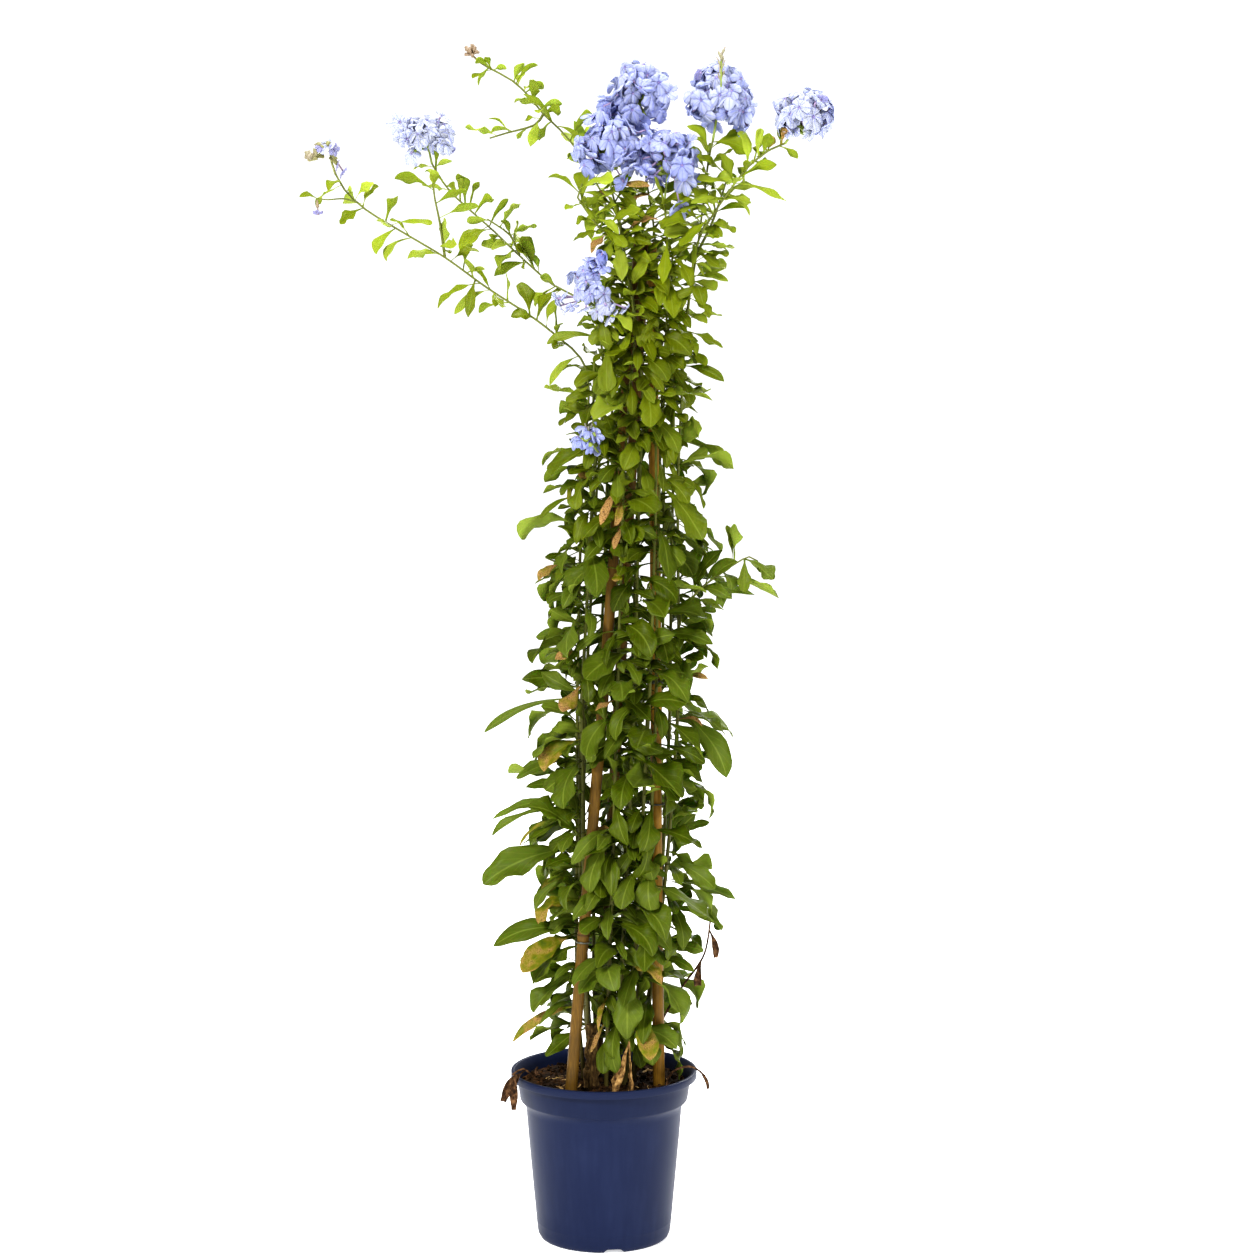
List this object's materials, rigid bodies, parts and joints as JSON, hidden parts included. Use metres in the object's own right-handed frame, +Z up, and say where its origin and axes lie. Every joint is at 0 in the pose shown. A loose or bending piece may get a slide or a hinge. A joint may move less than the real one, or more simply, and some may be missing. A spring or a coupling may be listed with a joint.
{
  "type": "potted cape leadwort",
  "caption": "Cape leadwort with sky-blue flower heads, trained up bamboo canes in a round blue nursery pot filled with soil.",
  "frame": {"origin": "centre of the pot's flat underside", "axes": "+Z up along the canes, -Y towards the front of the plant, +X to the right seen from the front"},
  "size_m": [0.4514, 0.1868, 1.079],
  "materials": {
    "pot": "satin moulded blue plastic",
    "soil": "loose dark peat",
    "cane": "satin bamboo",
    "wire": "dark satin",
    "bark": "rough bark",
    "leaf": "satin green leaf and stem",
    "petal": "soft sky-blue petal",
    "dead_leaf": "dry brown leaf"
  },
  "bodies": {
    "root": {"bloom_a": "petal", "bloom_b": "petal", "bloom_c1": "petal", "bloom_c2": "petal", "bloom_c3": "petal", "bloom_d": "petal", "bloom_e": "petal", "bloom_f": "petal", "bloom_g": "petal", "bloom_h": "petal", "cane_back": "cane", "cane_left": "cane", "cane_right": "cane", "clip_right": "wire", "crown": "bark", "dead_leaf_front": "dead_leaf", "dead_sprig_left": "dead_leaf", "dead_stem": "dead_leaf", "dead_twig_right": "dead_leaf", "pot": "pot", "soil": "soil", "stem_back": "leaf", "stem_back_left": "leaf", "stem_back_right": "leaf", "stem_front_bloom": "leaf", "stem_front_left": "leaf", "stem_front_mid": "leaf", "stem_front_right": "leaf", "stem_left": "leaf", "stem_left_back": "leaf", "stem_left_front": "leaf", "stem_right_back": "leaf", "stem_right_front": "leaf", "stem_right_low": "leaf", "stem_right_tall": "leaf", "tie_left": "wire", "tie_right": "wire", "tie_top": "wire"}
  },
  "joints": []
}
